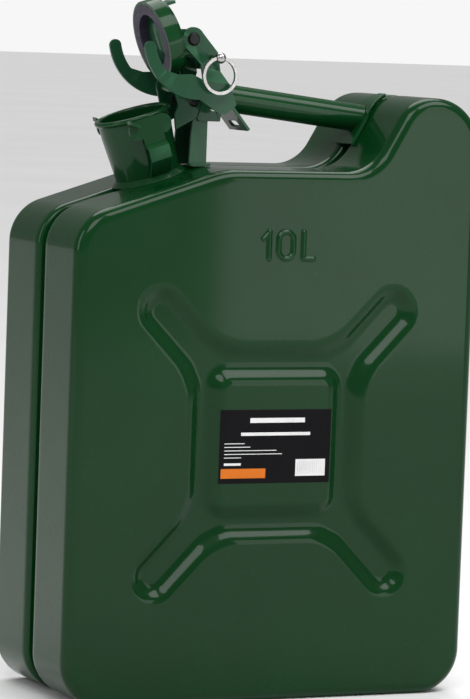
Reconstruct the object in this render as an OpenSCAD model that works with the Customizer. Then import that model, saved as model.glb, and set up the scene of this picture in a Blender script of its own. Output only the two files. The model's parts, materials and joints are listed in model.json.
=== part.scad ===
// Metal jerry can with a leaning spout, a cam-lever cap and a tube handle.
// Origin: middle of the base. +X towards the hump, +Y to the back, +Z up. Millimetres.

/* [Can body] */
// Overall width of the can, spout side to hump side
body_w = 274; // [268:1:290]
// Overall thickness of the can, broad face to broad face
body_d = 118; // [110:1:130]
// Height of the hump above the base
body_h = 378; // [374:1:390]
// Height of the flat deck under the handle
deck_h = 331; // [326:1:334]
// Slope of the shoulder, and lean of the spout, in degrees
lean = 18; // [15:1:20]
// Rounding between the rim of a shell and its broad face
edge_r = 7; // [5:1:16]
// Thickness of the pressed sheet
sheet = 1.5; // [1:0.1:2]
// Depth of the groove that the seam lies in
groove_depth = 10; // [6:1:12]
// Half the width of that groove
groove_half = 4.5; // [3:0.5:6]

/* [Pressings] */
// Depth of the pressed channels
press_depth = 5; // [2:0.5:7]
// Width of the raised island inside the channels
island_w = 80; // [78:1:84]
// Height of the raised island
island_h = 84; // [60:1:90]
// Width of the channel around the island
channel_w = 16; // [10:1:18]
// Height of the middle of the pressing above the base
press_z = 162; // [155:1:170]
// Height of the middle of the capacity mark above the base
mark_z = 285; // [275:1:292]

/* [Spout] */
// Length of the spout above the shoulder
neck_len = 42.5; // [36:0.5:44]
// Outer radius of the spout at the shoulder
neck_base_r = 20; // [19:0.5:21]
// Outer radius of the rolled rim
rim_r = 24.4; // [23.6:0.1:24.4]

/* [Cap and lever] */
// Outer radius of the cap
cap_r = 25.5; // [25:0.1:25.7]
// Height of the cap over the rim
cap_h = 11.5; // [10:0.5:12]
// Inner radius of the lever's hooks, about the lever's pin
hook_in = 29.6; // [29.4:0.1:30]
// Outer radius of the hooks
hook_out = 37.2; // [36:0.2:38]
// Angle by which the cap stands open
open_angle = 90; // [80:1:90]

/* [Handle] */
// Radius of the handle tube
tube_r = 8.8; // [7:0.2:9]
// Fall of the handle towards the hump, in degrees
tube_fall = 6.5; // [4:0.5:7]

/* [Safety pin] */
// Radius of the safety pin
pin_r = 1.6; // [1.2:0.1:2]
// Mean radius of the split ring
ring_r = 10.9; // [9:0.1:12]

/* [Hidden] */

half_d = body_d / 2;
slope_x = -40;
spout_x = -66;
spout_z = deck_h - (slope_x - spout_x) * tan(lean);
mouth = [spout_x - neck_len * sin(lean), 0, spout_z + neck_len * cos(lean)];
rim_wire = 1.8;
skirt = 15;
neck_wall = 1.5;
// The rim is a wire rolled about this radius, and its inner side is level with the spout's bore.
rim_at = rim_r - rim_wire;
neck_top_r = rim_at - rim_wire + neck_wall;

// Hinge of the cap and pin of the lever, in the mouth's frame: along it, then above it.
hinge_uw = [31.8, 6.9];
lever_uw = [4, 20];
function from_mouth(uw) = mouth + [uw[0] * cos(lean) - uw[1] * sin(lean), 0,
                                   uw[0] * sin(lean) + uw[1] * cos(lean)];
function turned(v, a) = [v[0] * cos(a) + v[2] * sin(a), 0, v[2] * cos(a) - v[0] * sin(a)];
hinge = from_mouth(hinge_uw);
lever = hinge + turned(from_mouth(lever_uw) - hinge, open_angle);
hinge_r = 2;
knuckle_r = 4.2;
pivot_r = 2.5;
play = 0.05;
seat = 0.02;

// Planes of the sheet parts, as distances from the middle of the can.
post_in = 11;
post_out = 13;
cheek_out = 15;
ear_in = 13.8;
ear_out = 16.6;
arm_in = 17;
arm_out = 19;
hook_plane = 26.5;
hook_face = 28.5;

tube_front = -34;
tube_drop = 2.4;
tube_z = body_h - tube_drop;
rivet_at = [-43.8, 371.5];
rivet_r = 2.6;
mark_height = 1.2;
pin_at = [12.6, -11.1];
head_y = -32.4;
eye_r = 2.1;
ball_r = 3.5;

// Corners of the can's side view, anticlockwise: x, z and rounding radius.
shoulder_end_z = deck_h - (body_w / 2 + slope_x) * tan(lean);
CORNERS = [
    [-body_w / 2, 0, 28],
    [body_w / 2, 0, 28],
    [body_w / 2, body_h, 31],
    [body_w / 2 - 49, body_h, 26],
    [body_w / 2 - 76, deck_h, 28],
    [slope_x, deck_h, 60],
    [-body_w / 2, shoulder_end_z, 28]
];

function unit(v) = v / norm(v);
function left(d) = [-d[1], d[0]];
function spin(v, a) = [v[0] * cos(a) - v[1] * sin(a), v[0] * sin(a) + v[1] * cos(a)];
function xz(i) = let(c = CORNERS[(i + len(CORNERS)) % len(CORNERS)]) [c[0], c[1]];

// Points of one rounded corner, moved inwards by inset.
function corner_arc(i, inset) =
    let(r = CORNERS[i][2],
        d1 = unit(xz(i) - xz(i - 1)),
        d2 = unit(xz(i + 1) - xz(i)),
        side = sign(d1[0] * d2[1] - d1[1] * d2[0]),
        turn = acos(d1 * d2),
        centre = xz(i) - d1 * r * tan(turn / 2) + side * r * left(d1),
        steps = ceil(turn / 14))
    [for (k = [0:steps])
        centre - side * (r - side * inset) * spin(left(d1), side * turn * k / steps)];
function outline(inset) = [for (i = [0:len(CORNERS) - 1]) each corner_arc(i, inset)];

// A closed profile of [inset, y] points, carried all round the outline.
module swept(profile) {
    n = len(outline(0));
    m = len(profile);
    points = [for (p = profile) for (q = outline(p[0])) [q[0], p[1], q[1]]];
    faces = [for (j = [0:m - 1]) for (i = [0:n - 1])
        let(k = (i + 1) % n, next = (j + 1) % m)
        [j * n + i, next * n + i, next * n + k, j * n + k]];
    polyhedron(points, faces, convexity = 8);
}

// The skin of one half from the seam to the broad face, pulled in by gap.
function half_skin(gap) = concat(
    [[groove_depth + gap, -0.3],
     [groove_depth + gap, -groove_half - gap],
     [3.2 + gap, -groove_half - gap],
     [gap, -groove_half - 4 - gap]],
    [for (k = [0:6]) let(a = 15 * k, r = edge_r - gap)
        [edge_r - r * cos(a), edge_r - half_d - r * sin(a)]]);
function reversed(list) = [for (i = [len(list) - 1:-1:0]) list[i]];

// Draws a flat shape of x and z between two depths.
module slab(y_low, y_high) {
    translate([0, y_high, 0]) rotate([90, 0, 0]) linear_extrude(y_high - y_low) children();
}

module both_sides() {
    children();
    mirror([0, 1, 0]) children();
}

// Places what is drawn about the mouth's centre, with +Z out of the spout.
module at_mouth() {
    translate(mouth) rotate([0, -lean, 0]) children();
}

// Places a part of the cap, drawn on the closed spout, where the open cap is.
module on_cap() {
    translate(hinge) rotate([0, open_angle, 0]) translate(-hinge) at_mouth() children();
}

module at_lever() {
    translate(lever) children();
}

// A straight bar with round ends between two flat points.
module bar2(a, b, w) {
    along = b - a;
    translate(a) circle(d = w, $fn = 20);
    translate(b) circle(d = w, $fn = 20);
    translate(a) rotate(atan2(along[1], along[0])) translate([0, -w / 2]) square([norm(along), w]);
}

module rounded_box2(w, h, r) {
    for (sx = [-1, 1], sz = [-1, 1])
        translate([sx * (w / 2 - r), sz * (h / 2 - r)]) circle(r, $fn = 20);
    square([w - 2 * r, h], center = true);
    square([w, h - 2 * r], center = true);
}

// The pressed channels: a frame round the island and four arms, widened by grow.
module channels2(grow) {
    outer_w = island_w + 2 * channel_w + 2 * grow;
    outer_h = island_h + 2 * channel_w + 2 * grow;
    translate([0, press_z]) {
        difference() {
            rounded_box2(outer_w, outer_h, 16 + grow);
            rounded_box2(island_w - 2 * grow, island_h - 2 * grow, 8 - grow);
        }
        for (sx = [-1, 1], sz = [-1, 1])
            bar2([sx * 48, sz * 50], [sx * 79, sz * 82], 24 + 2 * grow);
    }
}

// The raised capacity mark, drawn as plain strokes: a one, a nought and an L.
module capacity_mark2() {
    stroke = 3;
    tall = 16.5;
    low = mark_z - tall / 2;
    translate([-9, low]) {
        bar2([0, 0], [0, tall], stroke);
        bar2([-4.2, tall - 4.6], [-0.3, tall - 0.5], 0.8 * stroke);
    }
    translate([2.5, mark_z]) difference() {
        rounded_box2(13, tall + stroke, 6.4);
        rounded_box2(13 - 2 * stroke, tall - stroke, 3.4);
    }
    translate([14.5, low]) {
        bar2([0, 0], [0, tall], stroke);
        bar2([0, 0], [7, 0], stroke);
    }
}

// The broad face of one half, with its channels pressed in. The children are its raised mark.
module broad_face() {
    floor_y = press_depth - half_d;
    slab(-half_d, sheet - half_d) difference() {
        polygon(outline(edge_r));
        channels2(0);
    }
    slab(-half_d, floor_y + sheet) difference() {
        channels2(sheet);
        channels2(0);
    }
    slab(floor_y, floor_y + sheet) channels2(0.5 * sheet);
    slab(-half_d - mark_height, 0.5 * sheet - half_d) children();
}

// One pressed half of the can, drawn at the front. The children are its raised mark.
module half_shell() {
    difference() {
        swept(concat(half_skin(0), reversed(half_skin(sheet))));
        at_mouth() translate([0, 0, -neck_len - 25]) cylinder(r = neck_base_r + seat, h = 45, $fn = 64);
    }
    broad_face() children();
}

module front_shell() {
    color("darkgreen") half_shell() capacity_mark2();
}

module back_shell() {
    color("darkgreen") mirror([0, 1, 0]) half_shell() mirror([1, 0]) capacity_mark2();
}

// The two lips of the halves, folded together at the bottom of the groove.
module seam_flange() {
    color("black") difference() {
        slab(-1.2, 1.2) difference() {
            polygon(outline(groove_depth - 3));
            polygon(outline(groove_depth));
        }
        at_mouth() translate([0, 0, -neck_len - 25]) cylinder(r = neck_base_r + 4.2, h = 60, $fn = 64);
    }
}

// The spout: a flared tube with a rolled rim, let into the shoulder.
module spout_neck() {
    color("olivedrab") at_mouth() rotate_extrude($fn = 96) {
        polygon([
            [neck_base_r - neck_wall, -neck_len - skirt],
            [neck_base_r, -neck_len - skirt],
            [neck_base_r, -neck_len],
            [neck_top_r, -12],
            [neck_top_r, -rim_wire],
            [neck_top_r - neck_wall, -rim_wire],
            [neck_top_r - neck_wall, -12],
            [neck_base_r - neck_wall, -neck_len]
        ]);
        translate([rim_at, -rim_wire]) circle(rim_wire, $fn = 24);
    }
}

module neck_collar() {
    color("darkgreen") at_mouth() translate([0, 0, 0.05 - neck_len]) difference() {
        cylinder(r1 = neck_base_r + 4, r2 = neck_base_r + 1.2, h = 3.4, $fn = 96);
        translate([0, 0, -1]) cylinder(r = neck_base_r + 0.3, h = 6, $fn = 96);
    }
}

// The breather pipe, welded inside the spout on the handle's side.
module vent_tube() {
    bore = 2.9;
    wall = 0.9;
    color("darkolivegreen") at_mouth() translate([14.6, 0, -neck_len - skirt]) difference() {
        cylinder(r = bore + wall, h = neck_len + skirt - 14, $fn = 32);
        translate([0, 0, -1]) cylinder(r = bore, h = neck_len + skirt, $fn = 32);
    }
}

// The catch beside the spout, near side: a plate under the rim, a bowed strap and a lip.
module lug() {
    plate_in = rim_r + 0.2;
    plate_out = plate_in + 1.4;
    foot_w = -neck_len + 4;
    lip_out = 29.8;
    at_mouth() {
        // Side view of the strap: y outwards, then along the spout.
        translate([-7, 0, 0]) rotate([90, 0, 90]) linear_extrude(14) polygon([
            [-plate_in, -2], [-plate_out, -2], [-plate_out, -18], [-29.4, -21], [-29.4, -29],
            [-neck_base_r - 1.7, foot_w], [-neck_base_r - 0.2, foot_w],
            [-27.8, -28.4], [-27.8, -21.8], [-plate_in, -19.2]
        ]);
        slab(-plate_out, -plate_in) difference() {
            translate([-0.8, -8]) rounded_box2(29, 12, 5.6);
            translate([0, -8]) circle(2, $fn = 24);
        }
        // The lip lies on a circle about the lever's pin in its closed place.
        slab(-lip_out, -plate_in) intersection() {
            translate(lever_uw) difference() {
                circle(hook_in - 0.4, $fn = 96);
                circle(hook_in - 2.4, $fn = 96);
            }
            translate([-14.6, -10]) square([6, 12]);
        }
    }
}

module near_lug() {
    color("green") lug();
}

module far_lug() {
    color("green") mirror([0, 1, 0]) lug();
}

// Axis of the handle, starting between the post's sides.
module on_tube() {
    translate([tube_front, 0, tube_z]) rotate([0, 90 + tube_fall, 0]) children();
}

module handle_tube() {
    wall = 1.5;
    color("darkgreen") difference() {
        on_tube() cylinder(r = tube_r, h = 122, $fn = 64);
        on_tube() translate([0, 0, -1]) cylinder(r = tube_r - wall, h = 110, $fn = 64);
        slope_cut(2.4);
    }
}

// Takes away what lies beyond the hump's straight slope, moved outwards by gap.
module slope_cut(gap) {
    foot = xz(4);
    top = xz(3);
    angle = atan2(top[1] - foot[1], top[0] - foot[0]);
    slab(-40, 40) translate(foot) rotate(angle) translate([-60, -60]) square([160, 60 + gap]);
}

// The flat tab that fastens the handle's end to the hump.
module handle_rear_tab() {
    thick = 2.2;
    gap = 0.2;
    arc_in = corner_arc(3, -gap);
    arc_out = corner_arc(3, -gap - thick);
    color("darkgreen") intersection() {
        slab(-20, 20) polygon(concat(
            [tab_foot(gap), tab_foot(gap + thick)], reversed(arc_out), arc_in));
        translate([0, 0, deck_h - 10]) linear_extrude(80) polygon([
            [60, -13], [78, -13], [95, -5], [95, 5], [78, 13], [60, 13]]);
    }
}

// A point at the foot of the tab, lying gap above the slope.
function tab_foot(gap) =
    let(foot = xz(4), along = unit(xz(3) - xz(4)))
    foot + along * 17 + gap * left(along);

// A folded channel that carries the handle and the hinge bracket.
module handle_post() {
    top = 362;
    low = deck_h + 0.2;
    web_x = -35;
    color("gray") {
        both_sides() slab(-post_out, -post_in) polygon([
            [-45, low], [web_x + 2, low], [web_x + 2, top + 6], [-43, top]]);
        translate([web_x, -post_in, low]) cube([2, 2 * post_in, tube_z - tube_r - low + 0.3]);
    }
}

module post_foot() {
    color("gray") both_sides() translate([-46, -post_out - 4.4, deck_h + 0.2]) cube([14, 4.2, 1.8]);
}

// The grey cheeks that hold the cap's hinge, outside the post's sides.
module hinge_bracket() {
    lobe = 6.2;
    color("slategray") both_sides() slab(-cheek_out, -post_out - 0.1) difference() {
        union() {
            translate([hinge[0], hinge[2]]) circle(lobe, $fn = 48);
            polygon([
                [hinge[0] - lobe + 0.6, hinge[2] - 2.5], [-54.2, 368], [-56.6, 363], [-55.4, 353.6],
                [-41.6, 361], [-37.6, 373.4], [hinge[0] + lobe - 0.6, hinge[2] + 2.5]]);
        }
        translate([hinge[0], hinge[2]]) circle(hinge_r + seat, $fn = 48);
        translate(rivet_at) circle(rivet_r + seat, $fn = 48);
    }
}

// Small cheeks between the bracket and the handle, with a round bite.
module bracket_gusset() {
    color("green") both_sides() slab(-cheek_out, -post_out - 0.1) difference() {
        polygon([[-36.9, 374], [-41.2, 360.6], [-39.6, 359], [-25.4, 359], [-24.6, 364.8]]);
        translate([-29.5, 370]) circle(4.6, $fn = 32);
    }
}

module bracket_rivet() {
    head = 1.2;
    color("black") translate([rivet_at[0], 0, rivet_at[1]]) rotate([90, 0, 0]) {
        cylinder(r = rivet_r, h = 2 * cheek_out + 0.2, center = true, $fn = 48);
        both_ends(cheek_out + 0.1) cylinder(r1 = 3.8, r2 = rivet_r, h = head, $fn = 48);
    }
}

module both_ends(from) {
    translate([0, 0, from]) children();
    mirror([0, 0, 1]) translate([0, 0, from]) children();
}

// A slotted plate under the front of the handle.
module handle_tongue() {
    lean_out = 40;
    color("darkslategray") difference() {
        translate([-17.6, 0, 371]) rotate([0, -lean_out, 0]) difference() {
            translate([-2, -14, -21.4]) cube([2, 28, 21.4]);
            hull() for (s = [-1, 1])
                translate([0, 4 * s, -16]) rotate([0, 90, 0])
                    cylinder(r = 2.4, h = 12, center = true, $fn = 24);
        }
        on_tube() cylinder(r = tube_r, h = 60, $fn = 64);
    }
}

module hinge_pin() {
    color("black") translate(hinge) rotate([90, 0, 0]) {
        cylinder(r = hinge_r, h = 2 * cheek_out + 0.2, center = true, $fn = 48);
        both_ends(cheek_out + 0.1) cylinder(r1 = 3.4, r2 = 2.4, h = 1.2, $fn = 48);
    }
}

// Plan of the cap: a disc drawn out to a heel, pulled in by inset.
module cap_plan(inset) {
    heel_r = 9 - 0.4 * inset;
    heel_x = 19;
    r = cap_r - inset;
    tilt = acos((r - heel_r) / heel_x);
    circle(r, $fn = 96);
    translate([heel_x, 0]) circle(heel_r, $fn = 48);
    side = (1 - 0.001) * [cos(tilt), sin(tilt)];
    heel = [heel_x, 0];
    polygon([
        [0, 0], r * side, heel + heel_r * side, heel + heel_r * [side[0], -side[1]],
        r * [side[0], -side[1]]]);
}

// The cap: a pressed dish with a knuckle about the hinge.
module cap_shell() {
    low = 0.4;
    shoulder = 2.4;
    wall = 1.4;
    color("darkgreen") on_cap() difference() {
        union() {
            translate([0, 0, low]) linear_extrude(cap_h - shoulder - low) cap_plan(0);
            translate([0, 0, cap_h - shoulder]) linear_extrude(shoulder) cap_plan(1.6);
            translate([20, -9, 4]) cube([hinge_uw[0] - 20, 18, 5.4]);
            translate([hinge_uw[0], 0, hinge_uw[1]]) rotate([90, 0, 0])
                cylinder(r = knuckle_r, h = 25.4, center = true, $fn = 48);
        }
        translate([0, 0, low - 1]) linear_extrude(cap_h - low - wall + 1) cap_plan(wall + 0.6);
        translate([hinge_uw[0], 0, hinge_uw[1]]) rotate([90, 0, 0])
            cylinder(r = hinge_r + play, h = 60, center = true, $fn = 48);
    }
}

module cap_gasket() {
    color("indigo") on_cap() translate([0, 0, 0.4]) difference() {
        linear_extrude(6) cap_plan(2.1);
        translate([0, 0, -1]) cylinder(r = cap_r - 8.6, h = 8, $fn = 96);
    }
}

// The dished plate that holds the gasket up.
module gasket_plate() {
    color("green") on_cap() translate([0, 0, 6.5]) {
        linear_extrude(2) cap_plan(3);
        translate([-1, 0, -2.2]) cylinder(r1 = 9, r2 = 13, h = 2.2, $fn = 64);
    }
}

// Two ears on the cap that carry the lever.
module cap_ears() {
    u = lever_uw[0];
    w = lever_uw[1];
    color("green") on_cap() {
        both_sides() slab(-ear_out, -ear_in) difference() {
            union() {
                translate([u, w]) circle(6.4, $fn = 48);
                polygon([[u - 9, cap_h + 0.1], [u + 9, cap_h + 0.1], [u + 5.4, w + 3], [u - 5.4, w + 3]]);
            }
            translate([u, w]) circle(pivot_r + seat, $fn = 48);
        }
        translate([u - 9, -ear_in, cap_h + 0.1]) cube([18, 2 * ear_in, 1.6]);
    }
}

// The lifting tab at the free end of the cap.
module cap_hasp() {
    color("darkgreen") on_cap() translate([0, 0, cap_h + 0.1]) {
        translate([-21, -7, 0]) cube([12, 14, 1.8]);
        translate([-21, -7, 0]) cube([2, 14, 8]);
    }
}

module lever_pin() {
    head = 1.6;
    color("black") at_lever() rotate([90, 0, 0]) {
        cylinder(r = pivot_r, h = 2 * arm_out + 0.4, center = true, $fn = 48);
        both_ends(arm_out + 0.15) cylinder(r1 = 4.2, r2 = 3, h = head, $fn = 48);
    }
}

// Near half of the lever: an arm on the pin, a step outwards, and a hooked plate.
module lever_side() {
    tip_at = 190;
    root_at = 272;
    mid = (hook_in + hook_out) / 2;
    tip_r = (hook_out - hook_in) / 2;
    slab(-arm_out, -arm_in) difference() {
        union() {
            circle(7.4, $fn = 64);
            polygon([[-5, -5.5], [5.9, -16], [19, -19.6], [17, -8], [4.6, 5.8]]);
        }
        circle(pivot_r + play, $fn = 48);
        translate(pin_at) circle(pin_r + play, $fn = 32);
    }
    hull() {
        slab(-arm_out, -arm_in) polygon([[5.9, -16], [6.4, -17.4], [19.3, -21], [19, -19.6]]);
        slab(-hook_face, -hook_plane) polygon([[3.4, -25], [3.6, -26.4], [21.2, -28.4], [21, -27]]);
    }
    slab(-hook_face, -hook_plane) {
        difference() {
            intersection() {
                circle(hook_out, $fn = 128);
                polygon([
                    [0, 0], 60 * [cos(tip_at), sin(tip_at)],
                    60 * [cos(230), sin(230)], 60 * [cos(root_at), sin(root_at)]]);
            }
            circle(hook_in, $fn = 128);
        }
        translate(mid * [cos(tip_at), sin(tip_at)]) circle(tip_r, $fn = 32);
        polygon([
            hook_out * [cos(root_at), sin(root_at)], hook_out * [cos(root_at - 8), sin(root_at - 8)],
            hook_in * [cos(222), sin(222)], [-13.5, -22], [-4, -21.6], [3.4, -25],
            [21, -27], [26.5, -39.7], [24.5, -42.2], [18.2, -46.2], [15, -45.6]]);
    }
}

module cam_lever() {
    color("green") at_lever() both_sides() lever_side();
}

// The thumb plate that ties the two sides of the lever together.
module lever_bridge() {
    color("green") at_lever() slab(-arm_in + 0.02, arm_in - 0.02) polygon([
        [15.4, -7.8], [17, -8], [18.9, -19], [17.3, -18.8]]);
}

// A plain pin with a ball head that is drilled for the ring.
module safety_pin() {
    color("silver") at_lever() translate([pin_at[0], head_y, pin_at[1]]) difference() {
        rotate([-90, 0, 0]) rotate_extrude($fn = 48) {
            intersection() {
                circle(ball_r, $fn = 48);
                translate([0, -ball_r]) square([ball_r, 2 * ball_r]);
            }
            square([pin_r, 20 - head_y]);
        }
        rotate([0, 90, 0]) cylinder(r = eye_r, h = 12, center = true, $fn = 32);
    }
}

// Two flat coils of wire, hanging from the pin's eye.
module split_ring() {
    coil = 1.1;
    color("silver") at_lever() translate([pin_at[0], head_y, pin_at[1] - ring_r]) rotate([90, 0, 0])
        rotate_extrude($fn = 96) translate([ring_r, 0]) {
            translate([-1, 0.06]) square([2, coil]);
            translate([-1, -0.06 - coil]) square([2, coil]);
            translate([-0.8, -0.1]) square([1.6, 0.2]);
        }
}

module label() {
    color("black") slab(-half_d - 0.5, -half_d - 0.05)
        translate([0, press_z - 2]) square([76, 46], center = true);
}

front_shell();
back_shell();
seam_flange();
spout_neck();
neck_collar();
vent_tube();
near_lug();
far_lug();
handle_tube();
handle_rear_tab();
handle_post();
post_foot();
hinge_bracket();
bracket_gusset();
bracket_rivet();
handle_tongue();
hinge_pin();
cap_shell();
cap_gasket();
gasket_plate();
cap_ears();
cap_hasp();
lever_pin();
cam_lever();
lever_bridge();
safety_pin();
split_ring();
label();
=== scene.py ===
"""Looks for the metal jerry can: pressed shells, label, materials, light and camera."""
import json
import math

import bmesh
import bpy
import numpy as np
from mathutils import Matrix, Vector
from mathutils.geometry import delaunay_2d_cdt


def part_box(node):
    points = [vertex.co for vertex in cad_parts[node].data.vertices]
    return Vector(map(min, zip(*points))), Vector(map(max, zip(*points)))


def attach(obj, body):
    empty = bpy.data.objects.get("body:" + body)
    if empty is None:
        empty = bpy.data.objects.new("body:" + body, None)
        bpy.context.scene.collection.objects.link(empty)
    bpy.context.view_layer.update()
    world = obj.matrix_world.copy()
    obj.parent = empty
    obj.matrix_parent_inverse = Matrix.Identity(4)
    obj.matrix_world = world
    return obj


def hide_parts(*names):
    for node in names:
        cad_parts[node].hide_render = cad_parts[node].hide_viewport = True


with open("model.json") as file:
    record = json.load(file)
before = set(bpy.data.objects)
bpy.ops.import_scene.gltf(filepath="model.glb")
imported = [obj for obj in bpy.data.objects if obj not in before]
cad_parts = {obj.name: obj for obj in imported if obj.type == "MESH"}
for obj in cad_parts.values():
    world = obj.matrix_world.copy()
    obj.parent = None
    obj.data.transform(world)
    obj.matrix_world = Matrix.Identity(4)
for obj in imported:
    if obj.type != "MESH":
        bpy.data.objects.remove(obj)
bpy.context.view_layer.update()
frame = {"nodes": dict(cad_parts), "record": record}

# ---------------------------------------------------------------- sizes, in metres
SHELL_LOW, SHELL_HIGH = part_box("front_shell")
HALF_W = SHELL_HIGH[0]
TOP_Z = SHELL_HIGH[2]
MARK_HEIGHT = 0.0012
HALF_D = -SHELL_LOW[1] - MARK_HEIGHT
DECK_Z = 0.331
SLOPE_X = -0.040
LEAN = math.radians(18)
EDGE_R = 0.007
SKIN = 0.001
GROOVE_DEPTH = 0.010
GROOVE_HALF = 0.0045

# The spout, from its mount in the record, and where it passes through the shoulder.
SPOUT_BORE = next(m for m in frame["record"]["mounts"] if m["name"] == "spout_bore")
BORE_AT = Vector(SPOUT_BORE["pos_m"])
SPOUT_AXIS = Vector((-math.sin(LEAN), 0, math.cos(LEAN)))
NECK_R = 0.0205
NECK_LOW_Z = DECK_Z - 0.045
NECK_RIGHT_X = SLOPE_X + 0.01

# The pressing: an island in a frame of channels, with an arm from each corner of the frame.
PRESS_DEPTH = 0.005
PRESS_Z = 0.162
ISLAND = (0.080, 0.084)
ISLAND_R = 0.008
CHANNEL_W = 0.016
FRAME_R = 0.016
ARM_W = 0.024
ARM_START = (0.048, 0.050)
ARM_END = (0.079, 0.082)
ARM_BLEND = 0.012

# The soft sides of the channels: their width, and how far outside the channel they begin.
SLOPE_W = 0.0110
SLOPE_OUT = 0.0045

# The capacity mark, and the area round it that has the finer net.
MARK_Z = 0.285
MARK_TALL = 0.0165
MARK_STROKE = 0.003
MARK_SLOPE_W = 0.0018
MARK_SLOPE_OUT = 0.0003
MARK_AREA = (0.054, 0.028)

# Spacing of the points on the shells.
GRID = 0.0016
FINE_GRID = 0.0005
RIM_STEP = 0.0017

# The edges of the CAD nodes. Rounding is in metres, and most nodes have the usual amount.
MERGE_AT = 0.000004
SMOOTH_BELOW = math.radians(32)
ROUND_ABOVE = math.radians(40)
USUAL_ROUNDING = 0.0004
ROUNDING = {"safety_pin": 0.0002, "split_ring": 0.0003, "cap_shell": 0.0012, "cap_gasket": 0.0008}

# The camera's place and aim, its lens in millimetres, and how bright the world is.
AZIMUTH = math.radians(-25)
ELEVATION = math.radians(4.9)
ROLL = math.radians(2.1)
DISTANCE = 2.5
TARGET = Vector((0, 0, 0.2148))
LENS = 203.4
SENSOR_W = 36
SHIFT_X = -0.005
WORLD_TO_PAINT = 0.30
WORLD_TO_CAMERA = 0.93
FLOOR_REACH = 30

# Corners of the side view, anticlockwise: x, z and rounding radius.
SHOULDER_END_Z = DECK_Z - (HALF_W + SLOPE_X) * math.tan(LEAN)
CORNERS = [
    (-HALF_W, 0.0, 0.028),
    (HALF_W, 0.0, 0.028),
    (HALF_W, TOP_Z, 0.031),
    (HALF_W - 0.049, TOP_Z, 0.026),
    (HALF_W - 0.076, DECK_Z, 0.028),
    (SLOPE_X, DECK_Z, 0.060),
    (-HALF_W, SHOULDER_END_Z, 0.028),
]


# ---------------------------------------------------------------- the outline
def rounded_corner(index, inset):
    """Points of one rounded corner, with the outline pulled in by inset."""
    x, z, radius = CORNERS[index]
    here = Vector((x, z))
    before = Vector(CORNERS[index - 1][:2])
    after = Vector(CORNERS[(index + 1) % len(CORNERS)][:2])
    d1 = (here - before).normalized()
    d2 = (after - here).normalized()
    cross = d1.x * d2.y - d1.y * d2.x
    side = 1 if cross > 0 else -1
    turn = math.acos(max(-1, min(1, d1.dot(d2))))
    left = Vector((-d1.y, d1.x))
    centre = here - d1 * radius * math.tan(turn / 2) + side * radius * left
    steps = max(6, round(math.degrees(turn) / 3))
    points = []
    for k in range(steps + 1):
        c = math.cos(side * turn * k / steps)
        s = math.sin(side * turn * k / steps)
        arm = Vector((left.x * c - left.y * s, left.x * s + left.y * c))
        points.append(centre - side * (radius - side * inset) * arm)
    return points


def straight_steps():
    """How many pieces each straight stretch after a corner is cut into."""
    arcs = [rounded_corner(i, 0.0) for i in range(len(CORNERS))]
    return [max(1, round((arcs[(i + 1) % len(arcs)][0] - arc[-1]).length / RIM_STEP))
            for i, arc in enumerate(arcs)]


STRAIGHT_STEPS = straight_steps()


def outline(inset):
    """The whole outline, pulled in by inset, with the same number of points for any inset."""
    arcs = [rounded_corner(i, inset) for i in range(len(CORNERS))]
    points = []
    for i, arc in enumerate(arcs):
        points += arc
        start, end = arc[-1], arcs[(i + 1) % len(arcs)][0]
        count = STRAIGHT_STEPS[i]
        points += [start.lerp(end, k / count) for k in range(1, count)]
    return np.array([tuple(p) for p in points])


# ---------------------------------------------------------------- relief of the broad face
def smooth(x):
    """A soft step from nought to one."""
    x = np.clip(x, 0, 1)
    return x * x * (3 - 2 * x)


def box_distance(p, centre, size, radius):
    """Distance to a box with rounded corners, negative inside it."""
    q = np.abs(p - centre) - (np.array(size) / 2 - radius)
    outside = np.linalg.norm(np.maximum(q, 0), axis=-1)
    inside = np.minimum(np.max(q, axis=-1), 0)
    return outside + inside - radius


def bar_distance(p, a, b, width):
    """Distance to a bar with round ends between two points."""
    a, b = np.array(a), np.array(b)
    t = np.clip(((p - a) @ (b - a)) / ((b - a) @ (b - a)), 0, 1)
    return np.linalg.norm(p - a - t[..., None] * (b - a), axis=-1) - width / 2


def smooth_union(a, b, blend):
    """The nearer of two distances, with a fillet where they meet."""
    h = np.clip(0.5 + 0.5 * (b - a) / blend, 0, 1)
    return b * (1 - h) + a * h - blend * h * (1 - h)


def channel_distance(p):
    """Distance to the pressed channels: a frame round the island, and four arms."""
    centre = np.array((0.0, PRESS_Z))
    size = np.array(ISLAND)
    channels = box_distance(p, centre, size + 2 * CHANNEL_W, FRAME_R)
    island = box_distance(p, centre, size, ISLAND_R)
    for sx in (-1, 1):
        for sz in (-1, 1):
            start = (sx * ARM_START[0], PRESS_Z + sz * ARM_START[1])
            end = (sx * ARM_END[0], PRESS_Z + sz * ARM_END[1])
            channels = smooth_union(channels, bar_distance(p, start, end, ARM_W), ARM_BLEND)
    return np.maximum(channels, -island)


def mark_distance(p):
    """Distance to the strokes of the capacity mark: a one, a nought and an L."""
    tall, stroke = MARK_TALL, MARK_STROKE
    low, high = MARK_Z - tall / 2, MARK_Z + tall / 2
    one_x, ell_x, ell_end = -0.009, 0.0145, 0.0215
    nought_at, nought_w, nought_r = np.array((0.0025, MARK_Z)), 0.010, 0.0049
    flag_low, flag_high = (-0.0132, high - 0.0046), (-0.0093, high - 0.0005)
    one = np.minimum(bar_distance(p, (one_x, low), (one_x, high), stroke),
                     bar_distance(p, flag_low, flag_high, 0.8 * stroke))
    nought = np.abs(box_distance(p, nought_at, (nought_w, tall), nought_r)) - stroke / 2
    ell = np.minimum(bar_distance(p, (ell_x, low), (ell_x, high), stroke),
                     bar_distance(p, (ell_x, low), (ell_end, low), stroke))
    return np.minimum(np.minimum(one, nought), ell)


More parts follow.
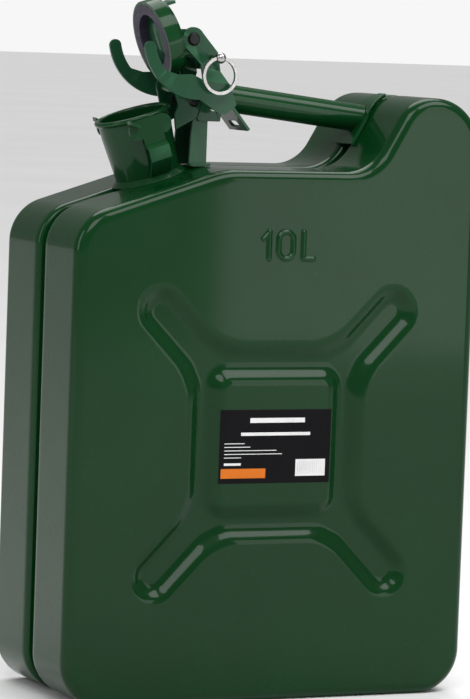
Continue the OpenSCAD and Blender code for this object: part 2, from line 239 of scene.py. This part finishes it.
def face_height(p, side):
    """How far the broad face stands out of its plane; the mark reads rightly on both sides."""
    pressed = smooth((SLOPE_OUT - channel_distance(p)) / SLOPE_W)
    raised = smooth((MARK_SLOPE_OUT - mark_distance(p * (-side, 1))) / MARK_SLOPE_W)
    return MARK_HEIGHT * raised - PRESS_DEPTH * pressed


# ---------------------------------------------------------------- mesh helpers
def new_object(name, verts, faces, slot=None):
    """A mesh object. One with a slot is a piece of the can; one without is part of the set."""
    mesh = bpy.data.meshes.new(name)
    mesh.from_pydata([tuple(v) for v in verts], [], [tuple(f) for f in faces])
    mesh.validate()
    mesh.update()
    obj = bpy.data.objects.new(name, mesh)
    bpy.context.scene.collection.objects.link(obj)
    if slot:
        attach(obj, "can")
    return obj


def shade_smooth(obj):
    obj.data.polygons.foreach_set("use_smooth", [True] * len(obj.data.polygons))


def half_profile():
    """The skin of one half from the seam to the broad face: inset and distance from the seam."""
    mouth = GROOVE_HALF
    lip = [(0.0032, 0.0001), (0.0020, 0.0005), (0.0011, 0.0012), (0.0004, 0.0023), (0.0, 0.0038)]
    floor = [(GROOVE_DEPTH, 0.0003), (GROOVE_DEPTH, mouth - 0.0012)]
    corner = [(GROOVE_DEPTH - 0.0004, mouth - 0.0003), (GROOVE_DEPTH - 0.0013, mouth)]
    groove = floor + corner + [(inset, mouth + y) for inset, y in lip]
    wall_end = HALF_D - EDGE_R
    wall = [(0.0, y) for y in np.linspace(mouth + 0.0065, wall_end - 0.0005, 16)]
    edge = [(EDGE_R * (1 - math.cos(a)), wall_end + EDGE_R * math.sin(a))
            for a in np.linspace(0, math.pi / 2, 13)]
    return groove + wall + edge


def inside(points, ring):
    """Which points lie inside a closed ring."""
    hit = np.zeros(len(points), bool)
    x, z = points[:, 0], points[:, 1]
    for (x0, z0), (x1, z1) in zip(ring, np.roll(ring, -1, axis=0)):
        if z0 == z1:
            continue
        crosses = (z0 > z) != (z1 > z)
        hit ^= crosses & (x < (x1 - x0) * (z - z0) / (z1 - z0) + x0)
    return hit


def grid_points(low, high, step):
    """A square grid of points between two corners."""
    xs = np.arange(low[0], high[0], step)
    zs = np.arange(low[1], high[1], step)
    return np.array([(x, z) for z in zs for x in xs])


def face_net(rim):
    """Points and triangles that fill the rim of the broad face with an even net."""
    coarse = grid_points(rim.min(axis=0), rim.max(axis=0), GRID)
    coarse = coarse[inside(coarse, outline(EDGE_R + 0.7 * GRID))]
    half = np.array(MARK_AREA) / 2
    by_mark = (np.abs(coarse - (0, MARK_Z)) < half + 0.001).all(axis=1)
    fine = grid_points((0, MARK_Z) - half, (0, MARK_Z) + half, FINE_GRID)
    points = [Vector(p) for p in np.vstack((rim, coarse[~by_mark], fine))]
    count = len(rim)
    edges = [(i, (i + 1) % count) for i in range(count)]
    verts, _, faces, _, _, _ = delaunay_2d_cdt(points, edges, [], 1, 1e-7)
    return np.array([tuple(v) for v in verts]), faces


def pressed_shell(name, side):
    """One half of the can; side is -1 for the front half and 1 for the back one."""
    rings = []
    for inset, depth in half_profile():
        flat = outline(inset)
        rings.append(np.column_stack((flat[:, 0], np.full(len(flat), side * depth), flat[:, 1])))
    count = len(rings[0])
    flat, triangles = face_net(outline(EDGE_R))
    level = side * (HALF_D + face_height(flat, side))
    face = np.column_stack((flat[:, 0], level, flat[:, 1]))
    verts = np.vstack(rings[:-1] + [face])
    faces = []
    for j in range(len(rings) - 1):
        for i in range(count):
            k = (i + 1) % count
            faces.append((j * count + i, j * count + k, (j + 1) * count + k, (j + 1) * count + i))
    start = (len(rings) - 1) * count
    faces += [tuple(start + i for i in f) for f in triangles]
    faces = [f for f in faces if not in_neck(verts[list(f)].mean(axis=0))]
    obj = new_object(name, verts, faces, "can_paint")
    clean(obj, side)
    shade_smooth(obj)
    skin = obj.modifiers.new("sheet", "SOLIDIFY")
    skin.thickness = SKIN
    skin.offset = -1
    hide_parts("front_shell" if side < 0 else "back_shell")
    return obj


def in_neck(point):
    """Whether a point of the shoulder lies inside the spout."""
    if point[2] < NECK_LOW_Z or point[0] > NECK_RIGHT_X:
        return False
    away = Vector(point) - BORE_AT
    return (away - SPOUT_AXIS * away.dot(SPOUT_AXIS)).length < NECK_R


def clean(obj, side):
    """Takes away points without faces, and turns every face outwards."""
    mesh = bmesh.new()
    mesh.from_mesh(obj.data)
    loose = [v for v in mesh.verts if not v.link_faces]
    bmesh.ops.delete(mesh, geom=loose, context="VERTS")
    bmesh.ops.recalc_face_normals(mesh, faces=mesh.faces)
    broad = max(mesh.faces, key=lambda f: side * f.calc_center_median().y)
    if broad.normal.y * side < 0:
        bmesh.ops.reverse_faces(mesh, faces=mesh.faces)
    mesh.to_mesh(obj.data)
    mesh.free()


# ---------------------------------------------------------------- materials
class Material:
    """A node material with short ways to add noise, ramps and mixes."""

    def __init__(self, name):
        self.material = bpy.data.materials.new(name)
        self.material.use_nodes = True
        self.nodes = self.material.node_tree.nodes
        self.links = self.material.node_tree.links
        self.shader = self.nodes["Principled BSDF"]
        self.place = self.nodes.new("ShaderNodeTexCoord").outputs["Object"]

    def noise(self, scale, detail=4.0):
        """Noise in the object's own coordinates; a larger scale is finer."""
        node = self.nodes.new("ShaderNodeTexNoise")
        node.inputs["Scale"].default_value = scale
        node.inputs["Detail"].default_value = detail
        node.inputs["Roughness"].default_value = 0.55
        self.links.new(self.place, node.inputs["Vector"])
        return node.outputs["Fac"]

    def ramp(self, value, low, high, to_low=0.0, to_high=1.0):
        """Stretches a value from one range to another."""
        node = self.nodes.new("ShaderNodeMapRange")
        node.inputs["From Min"].default_value = low
        node.inputs["From Max"].default_value = high
        node.inputs["To Min"].default_value = to_low
        node.inputs["To Max"].default_value = to_high
        self.links.new(value, node.inputs["Value"])
        return node.outputs["Result"]

    def mix(self, factor, a, b):
        """Blends two colours."""
        node = self.nodes.new("ShaderNodeMix")
        node.data_type = "RGBA"
        self.links.new(factor, node.inputs["Factor"])
        for socket, colour in (("A", a), ("B", b)):
            target = next(s for s in node.inputs if s.name == socket and s.type == "RGBA")
            if isinstance(colour, tuple):
                target.default_value = (*colour, 1)
            else:
                self.links.new(colour, target)
        return next(s for s in node.outputs if s.type == "RGBA")

    def edges(self):
        """High on outer edges and low in hollows."""
        geometry = self.nodes.new("ShaderNodeNewGeometry")
        return geometry.outputs["Pointiness"]

    def bump(self, value, height):
        """Relief in the shading, with its height in metres."""
        node = self.nodes.new("ShaderNodeBump")
        node.inputs["Strength"].default_value = 1.0
        node.inputs["Distance"].default_value = height
        self.links.new(value, node.inputs["Height"])
        self.links.new(node.outputs["Normal"], self.shader.inputs["Normal"])

    def set(self, **values):
        """Sets or links the shader's sockets by name."""
        for name, value in values.items():
            socket = self.shader.inputs[name.replace("_", " ")]
            if isinstance(value, tuple):
                socket.default_value = (*value, 1)
            elif isinstance(value, (int, float)):
                socket.default_value = value
            else:
                self.links.new(value, socket)


def enamel(name, deep, light, worn, gloss):
    """Stoved enamel: a slow drift of colour, orange peel, and paler paint on edges."""
    m = Material(name)
    drift = m.ramp(m.noise(9, 3), 0.35, 0.65)
    colour = m.mix(drift, deep, light)
    edge = m.ramp(m.edges(), 0.52, 0.60, 0.0, 0.55)
    m.set(Base_Color=m.mix(edge, colour, worn))
    m.set(Roughness=m.ramp(m.noise(60, 5), 0.3, 0.7, gloss - 0.03, gloss + 0.05))
    m.set(Coat_Weight=0.35, Coat_Roughness=0.06, Coat_IOR=1.45, Specular_IOR_Level=0.06)
    m.bump(m.noise(500, 2), 0.000006)
    return m.material


def plain_steel(name, colour, gloss, metallic, grain):
    """Bare or blackened steel with fine drawing marks."""
    m = Material(name)
    drift = m.ramp(m.noise(240, 3), 0.3, 0.7)
    m.set(Base_Color=m.mix(drift, tuple(0.8 * c for c in colour), colour), Metallic=metallic)
    m.set(Roughness=m.ramp(m.noise(900, 4), 0.3, 0.7, gloss - 0.05, gloss + 0.08))
    m.bump(m.noise(grain, 3), 0.00001)
    return m.material


def rubber(name, colour):
    """Dull moulded rubber with a bloom."""
    m = Material(name)
    bloom = m.ramp(m.noise(120, 5), 0.4, 0.7)
    m.set(Base_Color=m.mix(bloom, colour, tuple(2.2 * c for c in colour)))
    m.set(Roughness=m.ramp(m.noise(300, 3), 0.3, 0.7, 0.5, 0.7))
    m.bump(m.noise(1500, 2), 0.00003)
    return m.material


def film(name, colour):
    """Printed plastic film, slightly uneven where it is stuck down."""
    m = Material(name)
    drift = m.ramp(m.noise(80, 4), 0.3, 0.7)
    m.set(Base_Color=m.mix(drift, tuple(0.85 * c for c in colour), colour))
    m.set(Roughness=m.ramp(m.noise(200, 3), 0.3, 0.7, 0.30, 0.42))
    m.set(Specular_IOR_Level=0.05)
    m.bump(m.noise(260, 2), 0.00001)
    return m.material


def paint_node(node, material):
    """Puts a material in every slot of a CAD node."""
    obj = frame["nodes"][node]
    if not obj.data.materials:
        obj.data.materials.append(material)
    for slot in obj.material_slots:
        slot.material = material


# ---------------------------------------------------------------- softened edges of the CAD nodes
def soften_group():
    """Merges the faces of a CAD mesh and shades it smooth, except over sharp edges."""
    group = bpy.data.node_groups.new("soften", "GeometryNodeTree")
    group.interface.new_socket("Geometry", in_out="INPUT", socket_type="NodeSocketGeometry")
    group.interface.new_socket("Geometry", in_out="OUTPUT", socket_type="NodeSocketGeometry")
    start = group.nodes.new("NodeGroupInput")
    end = group.nodes.new("NodeGroupOutput")
    merge = group.nodes.new("GeometryNodeMergeByDistance")
    merge.inputs["Distance"].default_value = MERGE_AT
    faces = group.nodes.new("GeometryNodeSetShadeSmooth")
    edges = group.nodes.new("GeometryNodeSetShadeSmooth")
    edges.domain = "EDGE"
    angle = group.nodes.new("GeometryNodeInputMeshEdgeAngle")
    sharp = group.nodes.new("FunctionNodeCompare")
    sharp.operation = "LESS_THAN"
    sharp.inputs[1].default_value = SMOOTH_BELOW
    group.links.new(start.outputs[0], merge.inputs["Geometry"])
    group.links.new(merge.outputs[0], faces.inputs["Geometry"])
    group.links.new(faces.outputs[0], edges.inputs["Geometry"])
    group.links.new(angle.outputs["Unsigned Angle"], sharp.inputs[0])
    group.links.new(sharp.outputs[0], edges.inputs["Shade Smooth"])
    group.links.new(edges.outputs[0], end.inputs[0])
    return group


def soften(node, width):
    """Rounds the cut edges of a CAD node a little, as pressed and painted sheet has them."""
    obj = frame["nodes"][node]
    merge = obj.modifiers.new("soften", "NODES")
    merge.node_group = SOFTEN
    bevel = obj.modifiers.new("edges", "BEVEL")
    bevel.width = width
    bevel.segments = 2
    bevel.limit_method = "ANGLE"
    bevel.angle_limit = ROUND_ABOVE
    bevel.harden_normals = True
    bevel.use_clamp_overlap = True


# ---------------------------------------------------------------- the label
def strip(verts, faces, low, high, thick):
    """Adds a thin raised strip on the label between two corners in x and z."""
    base = len(verts)
    x0, z0 = low
    x1, z1 = high
    back, front = -HALF_D, -HALF_D - thick
    lip = min(0.0003, (z1 - z0) / 4)
    for y, d in ((back, 0.0), (front, lip)):
        verts += [(x0 + d, y, z0 + d), (x1 - d, y, z0 + d), (x1 - d, y, z1 - d), (x0 + d, y, z1 - d)]
    faces += [tuple(base + i for i in f) for f in
              ((4, 5, 6, 7), (0, 1, 5, 4), (1, 2, 6, 5), (2, 3, 7, 6), (3, 0, 4, 7), (3, 2, 1, 0))]


def make_label():
    """A generic label: a dark film, an orange strip, pale bars for lines and a white panel."""
    low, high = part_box("label")
    left, right, bottom, top = low[0], high[0], low[2], high[2]
    sheet_thick, print_thick, tick_thick = 0.00030, 0.00036, 0.00040
    stripe = ((left + 0.001, bottom + 0.003), (left + 0.032, bottom + 0.0095))
    panel = ((right - 0.024, bottom + 0.004), (right - 0.003, bottom + 0.015))
    bars = [((left + 0.020, top - 0.0085), (right - 0.018, top - 0.0050)),
            ((left + 0.014, top - 0.0165), (right - 0.014, top - 0.0140))]
    for k, length in enumerate((0.014, 0.018, 0.036, 0.040, 0.012)):
        z = top - 0.0215 - 0.0022 * k
        bars.append(((left + 0.003, z), (left + 0.003 + length, z + 0.0008)))
    bars.append(((left + 0.003, bottom + 0.0110), (left + 0.015, bottom + 0.0130)))
    ticks = []
    for k in range(15):
        x = right - 0.0225 + 0.0013 * k
        ticks.append(((x, bottom + 0.0055), (x + 0.0006, bottom + 0.0138)))
    layers = {
        "label_sheet": (LABEL_DARK, sheet_thick, [((left, bottom), (right, top))]),
        "label_strip": (LABEL_ORANGE, print_thick, [stripe]),
        "label_panel": (LABEL_PALE, print_thick, [panel]),
        "label_bars": (LABEL_PALE, print_thick, bars),
        "label_ticks": (LABEL_DARK, tick_thick, ticks),
    }
    for name, (material, thick, shapes) in layers.items():
        verts, faces = [], []
        for a, b in shapes:
            strip(verts, faces, a, b, thick)
        obj = new_object(name, verts, faces, "label_film")
        obj.data.materials.append(material)
        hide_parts("label")


# ---------------------------------------------------------------- light and camera
def area_light(name, place, aim, size, power):
    """A softbox that faces a point."""
    data = bpy.data.lights.new(name, "AREA")
    data.shape = "RECTANGLE"
    data.size, data.size_y = size
    data.energy = power
    obj = bpy.data.objects.new(name, data)
    obj.location = place
    obj.rotation_euler = (Vector(aim) - Vector(place)).to_track_quat("-Z", "Y").to_euler()
    bpy.context.scene.collection.objects.link(obj)


def sky_light(name, towards, strength, spread):
    """A very wide overhead light that reaches the whole floor evenly."""
    data = bpy.data.lights.new(name, "SUN")
    data.energy = strength
    data.angle = math.radians(spread)
    obj = bpy.data.objects.new(name, data)
    obj.rotation_euler = (-Vector(towards)).to_track_quat("-Z", "Y").to_euler()
    bpy.context.scene.collection.objects.link(obj)


def make_camera():
    """Stands at the front left, a little above the can's middle, with a slight roll."""
    level = math.cos(ELEVATION)
    back = Vector((math.sin(AZIMUTH) * level, -math.cos(AZIMUTH) * level, math.sin(ELEVATION)))
    side = (-back).cross(Vector((0, 0, 1))).normalized()
    up = side.cross(-back)
    x = side * math.cos(ROLL) + up * math.sin(ROLL)
    y = up * math.cos(ROLL) - side * math.sin(ROLL)
    camera = bpy.data.objects.new("camera", bpy.data.cameras.new("camera"))
    turn = Matrix((x, y, back)).transposed().to_4x4()
    camera.matrix_world = Matrix.Translation(TARGET + back * DISTANCE) @ turn
    camera.data.lens = LENS
    camera.data.sensor_width = SENSOR_W
    camera.data.shift_x = SHIFT_X
    camera.data.clip_end = 50
    bpy.context.scene.collection.objects.link(camera)
    bpy.context.scene.camera = camera


def make_stage():
    """The floor, and a world that is white to the camera and dimmer to the paint."""
    verts = [(x * FLOOR_REACH, y * FLOOR_REACH, 0) for x, y in ((-1, -1), (1, -1), (1, 1), (-1, 1))]
    floor = new_object("floor", verts, [(0, 1, 2, 3)])
    m = Material("floor")
    drift = m.ramp(m.noise(2), 0.3, 0.7)
    m.set(Base_Color=m.mix(drift, (0.80, 0.80, 0.80), (0.84, 0.84, 0.84)), Roughness=0.7)
    floor.data.materials.append(m.material)
    world = bpy.data.worlds.new("studio")
    world.use_nodes = True
    nodes, links = world.node_tree.nodes, world.node_tree.links
    path = nodes.new("ShaderNodeLightPath")
    level = nodes.new("ShaderNodeMapRange")
    level.inputs["To Min"].default_value = WORLD_TO_PAINT
    level.inputs["To Max"].default_value = WORLD_TO_CAMERA
    links.new(path.outputs["Is Camera Ray"], level.inputs["Value"])
    links.new(level.outputs["Result"], nodes["Background"].inputs["Strength"])
    nodes["Background"].inputs["Color"].default_value = (1, 1, 1, 1)
    bpy.context.scene.world = world
    bpy.context.scene.view_settings.view_transform = "Standard"


# ---------------------------------------------------------------- build
make_camera()
make_stage()

CAN_PAINT = enamel("can_enamel", deep=(0.0009, 0.027, 0.0048), light=(0.0013, 0.032, 0.0060),
                   worn=(0.02, 0.13, 0.05), gloss=0.24)
SPOUT_PAINT = enamel("spout_enamel", deep=(0.0018, 0.030, 0.0068), light=(0.0028, 0.036, 0.0090),
                     worn=(0.03, 0.13, 0.06), gloss=0.30)
FITTING_PAINT = enamel("fitting_enamel", deep=(0.008, 0.048, 0.020), light=(0.011, 0.056, 0.026),
                       worn=(0.04, 0.14, 0.07), gloss=0.32)
RUBBER = rubber("seal_rubber", colour=(0.015, 0.010, 0.024))
BLACK = plain_steel("black_steel", colour=(0.015, 0.015, 0.016), gloss=0.35, metallic=0.6, grain=700)
BRIGHT = plain_steel("bright_steel", colour=(0.46, 0.45, 0.44), gloss=0.20, metallic=1.0, grain=1200)
LABEL_DARK = film("label_dark", (0.006, 0.006, 0.007))
LABEL_ORANGE = film("label_orange", (0.62, 0.16, 0.02))
LABEL_PALE = film("label_pale", (0.75, 0.75, 0.75))

BY_SLOT = {"can_paint": CAN_PAINT, "spout_paint": SPOUT_PAINT, "fitting_paint": FITTING_PAINT,
           "seal_rubber": RUBBER, "black_steel": BLACK, "bright_steel": BRIGHT, "label_film": LABEL_DARK}
SOFTEN = soften_group()
REPLACED = {"front_shell", "back_shell", "label"}

for row in frame["record"]["subparts"]:
    if row["node"] in REPLACED:
        continue
    paint_node(row["node"], BY_SLOT[row["material_slot"]])
    soften(row["node"], ROUNDING.get(row["node"], USUAL_ROUNDING))

for shell_name, shell_side in (("pressed_front", -1), ("pressed_back", 1)):
    pressed_shell(shell_name, shell_side).data.materials.append(CAN_PAINT)
make_label()

area_light("front_softbox", place=(1.29, -2.30, 0.50), aim=(0.0, -0.06, 0.2), size=(0.56, 2.0), power=9)
area_light("key_softbox", place=(-1.2, -2.1, 2.5), aim=(0.0, 0.0, 0.15), size=(1.6, 1.6), power=40)
area_light("over_softbox", place=(0.75, -1.05, 2.2), aim=(0.0, 0.0, 0.2), size=(1.8, 1.1), power=34)
area_light("left_softbox", place=(-2.6, -0.3, 1.2), aim=(0.0, 0.0, 0.2), size=(0.8, 1.8), power=16)
sky_light("sky_softbox", towards=(0.15, 0.55, 1.0), strength=1.7, spread=45)
